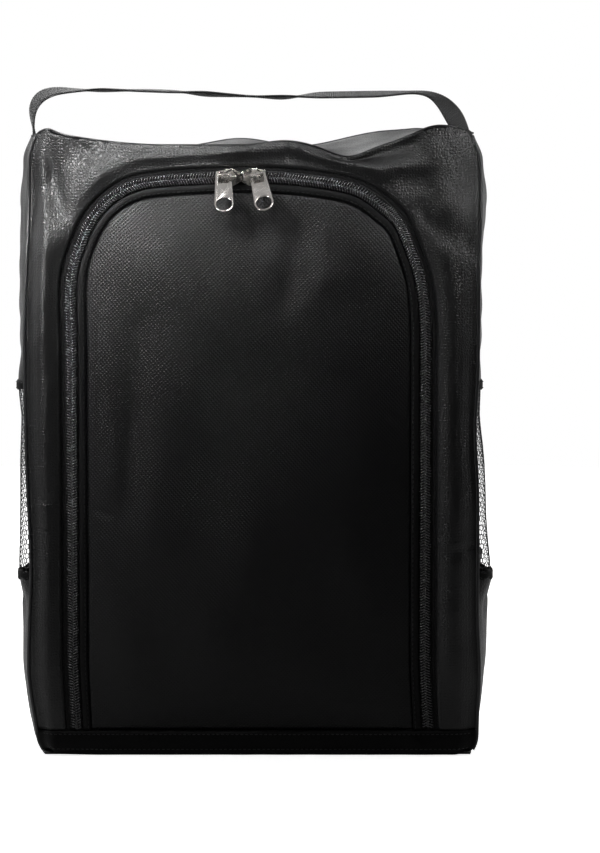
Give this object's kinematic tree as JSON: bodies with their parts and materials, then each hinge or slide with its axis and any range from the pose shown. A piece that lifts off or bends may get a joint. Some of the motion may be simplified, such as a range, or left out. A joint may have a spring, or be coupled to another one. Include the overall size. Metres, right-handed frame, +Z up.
{
  "type": "shoe bag",
  "caption": "Soft rectangular shoe carry bag with a large arched zip door in front, net side panels and a webbing carry handle on top.",
  "frame": {"origin": "middle of the base's underside, midway between the front and back panels and between the two sides", "axes": "+Z up from the base to the handle, -Y out of the front with the zip door, +X to the right seen from the front"},
  "size_m": [0.275, 0.152, 0.3897],
  "materials": {
    "leatherette": "fine pebble grain, satin",
    "door_leatherette": "fine crosshatch grain, satin",
    "grained_top": "fine grain, satin",
    "smooth_trim": "smooth, satin",
    "tape": "woven, matte",
    "zip_coil": "moulded nylon, satin",
    "net": "knitted hexagonal net, matte",
    "webbing": "ribbed weave, matte",
    "board": "plain",
    "nickel": "polished"
  },
  "bodies": {
    "bag_body": {"front_frame_panel": "leatherette", "front_base_band": "leatherette", "back_panel": "leatherette", "base_panel": "leatherette", "base_stiffener": "board", "top_panel": "grained_top", "side_upper_left": "leatherette", "side_upper_right": "leatherette", "side_mesh_left": "net", "side_mesh_right": "net", "side_lower_left": "leatherette", "side_lower_right": "leatherette", "mesh_top_binding_left": "smooth_trim", "mesh_top_binding_right": "smooth_trim", "pocket_hem_left": "smooth_trim", "pocket_hem_right": "smooth_trim", "front_piping": "smooth_trim", "back_piping": "smooth_trim", "front_seam_binding": "tape", "back_seam_binding": "tape", "zip_tape_outer": "tape", "zip_coil_outer": "zip_coil", "door_seam_tape": "tape", "handle_anchor_left": "webbing", "handle_anchor_right": "webbing"},
    "door": {"door_panel": "door_leatherette", "door_welt": "smooth_trim", "zip_tape_inner": "tape", "zip_coil_inner": "zip_coil"},
    "slider_left": {"slider_left": "nickel", "slider_bail_left": "nickel"},
    "slider_right": {"slider_right": "nickel", "slider_bail_right": "nickel"},
    "pull_tab_left": {"pull_tab_left": "nickel"},
    "pull_tab_right": {"pull_tab_right": "nickel"},
    "handle": {"handle_webbing": "webbing", "handle_leg_left": "webbing", "handle_leg_right": "webbing"}
  },
  "joints": [
    {"name": "door_open", "type": "hinge", "parent": "bag_body", "child": "door", "pos_m": [0, -0.0653, 0.0153], "axis": [1, 0, 0], "range_deg": [0, 85]},
    {"name": "slider_left_travel", "type": "hinge", "parent": "door", "child": "slider_left", "pos_m": [0, -0.065, 0.03985], "axis": [0, 1, 0], "range_deg": [-7.4, 0]},
    {"name": "slider_right_travel", "type": "hinge", "parent": "door", "child": "slider_right", "pos_m": [0, -0.065, 0.03985], "axis": [0, 1, 0], "range_deg": [0, 9.8]},
    {"name": "pull_tab_left_swing", "type": "hinge", "parent": "slider_left", "child": "pull_tab_left", "pos_m": [-0.01707, -0.0695, 0.33938], "axis": [0, 1, 0], "range_deg": [-4, 85]},
    {"name": "pull_tab_right_swing", "type": "hinge", "parent": "slider_right", "child": "pull_tab_right", "pos_m": [0.00452, -0.0695, 0.33984], "axis": [0, 1, 0], "range_deg": [-72, 14]},
    {"name": "handle_swing", "type": "hinge", "parent": "bag_body", "child": "handle", "pos_m": [0, 0, 0.366], "axis": [1, 0, 0], "range_deg": [-45, 45], "deforming": ["handle_leg_left", "handle_leg_right"]}
  ]
}
